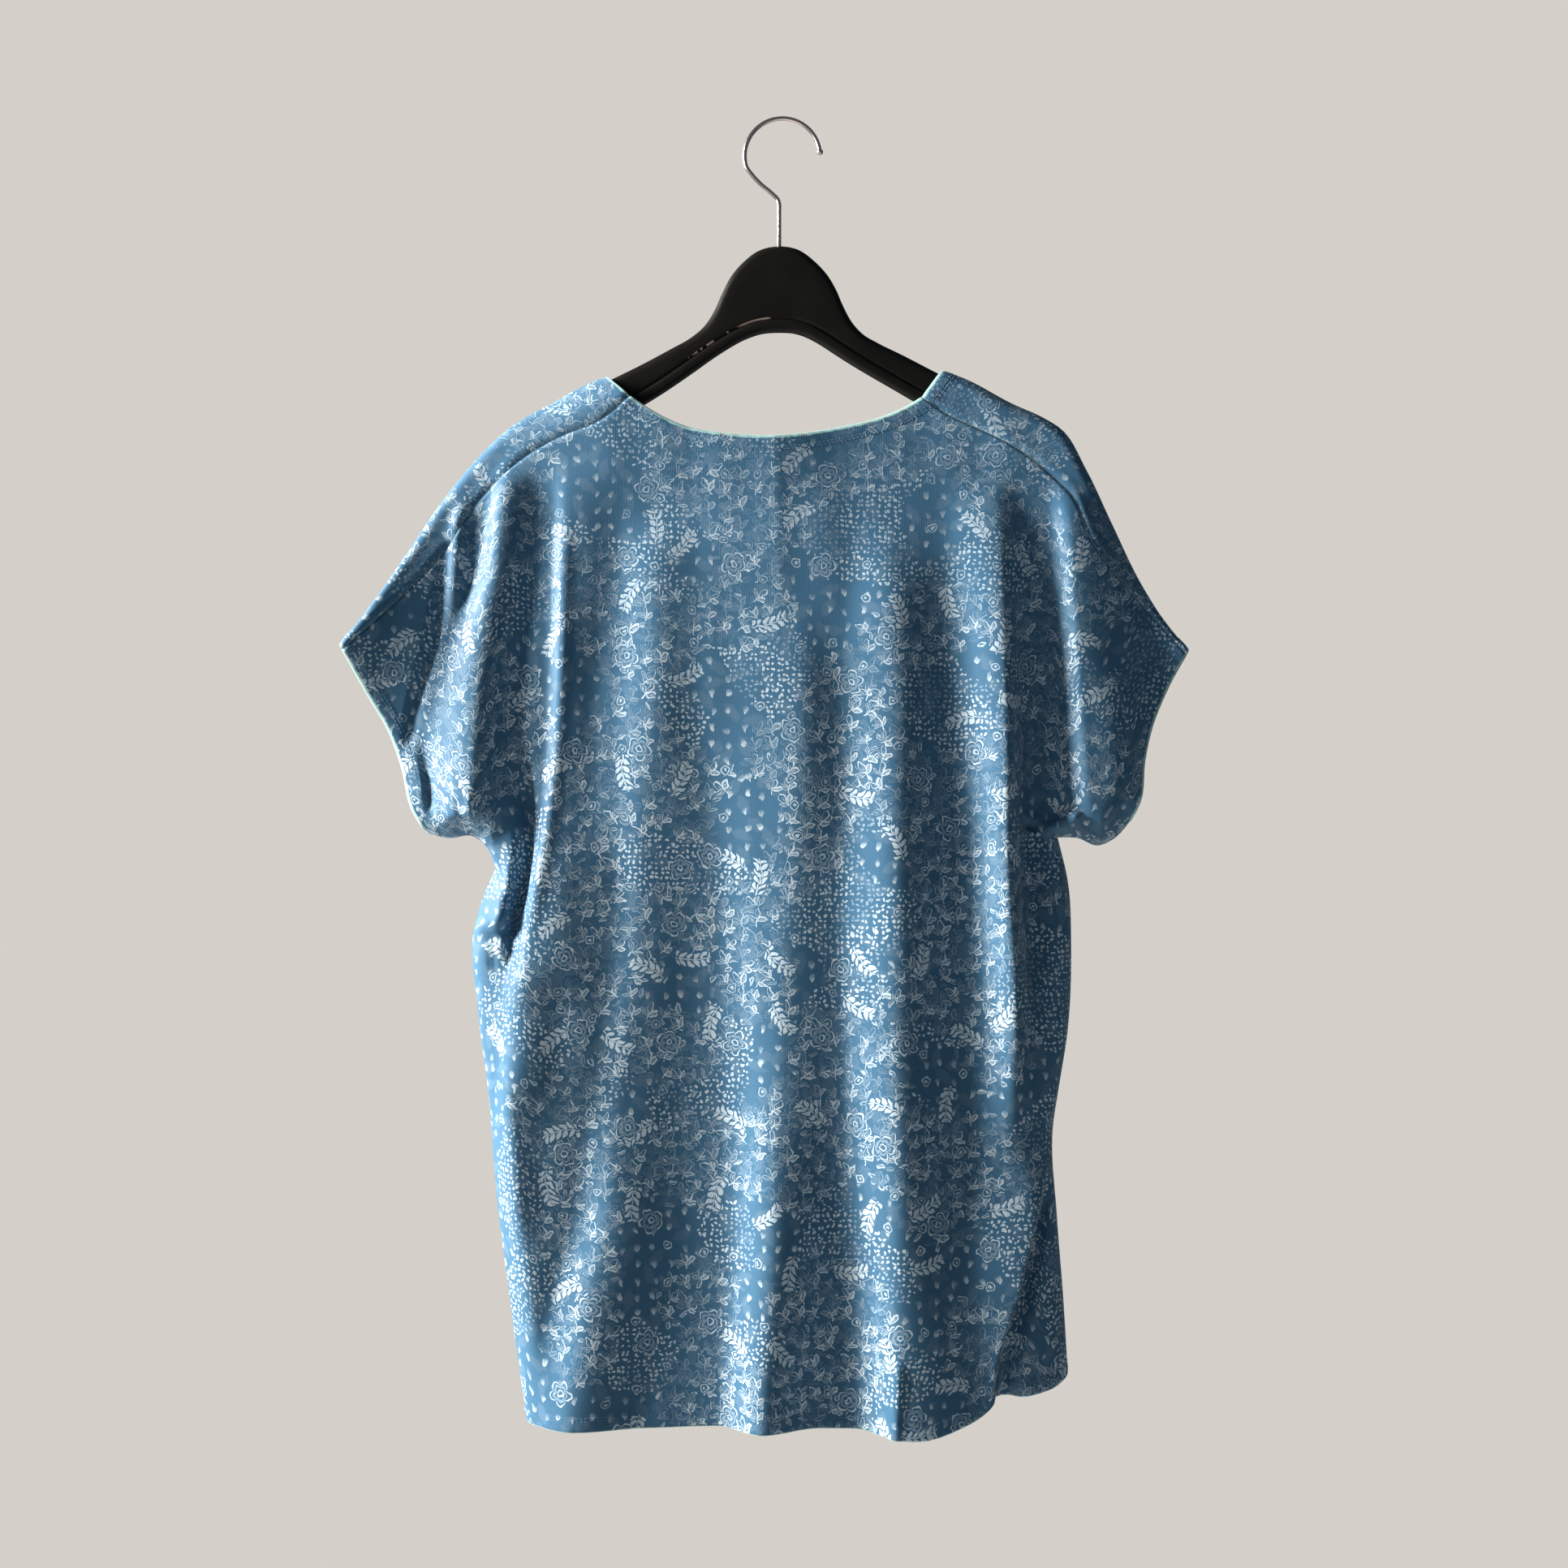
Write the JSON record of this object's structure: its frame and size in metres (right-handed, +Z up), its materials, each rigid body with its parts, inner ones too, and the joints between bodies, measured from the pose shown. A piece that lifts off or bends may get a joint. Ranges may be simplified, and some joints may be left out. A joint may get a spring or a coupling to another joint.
{
  "type": "short-sleeved kimono-cut t-shirt on a clothes hanger",
  "caption": "Loose short-sleeved jersey t-shirt with a wide round neck, hanging in soft folds from a flat black hanger with a wire hook.",
  "frame": {"origin": "underside of the hook's top, where the hanger is hung", "axes": "+X to the right seen from the garment's back, +Y towards the garment's front, +Z up"},
  "size_m": [0.6215, 0.0786, 0.9655],
  "materials": {
    "jersey": "smooth thin jersey, blue with a pale all-over print",
    "black_lacquer": "satin black",
    "steel_wire": "bright drawn wire"
  },
  "bodies": {
    "root": {"back": "jersey", "front": "jersey", "hanger_arm": "black_lacquer", "hanger_hook": "steel_wire"}
  },
  "joints": []
}
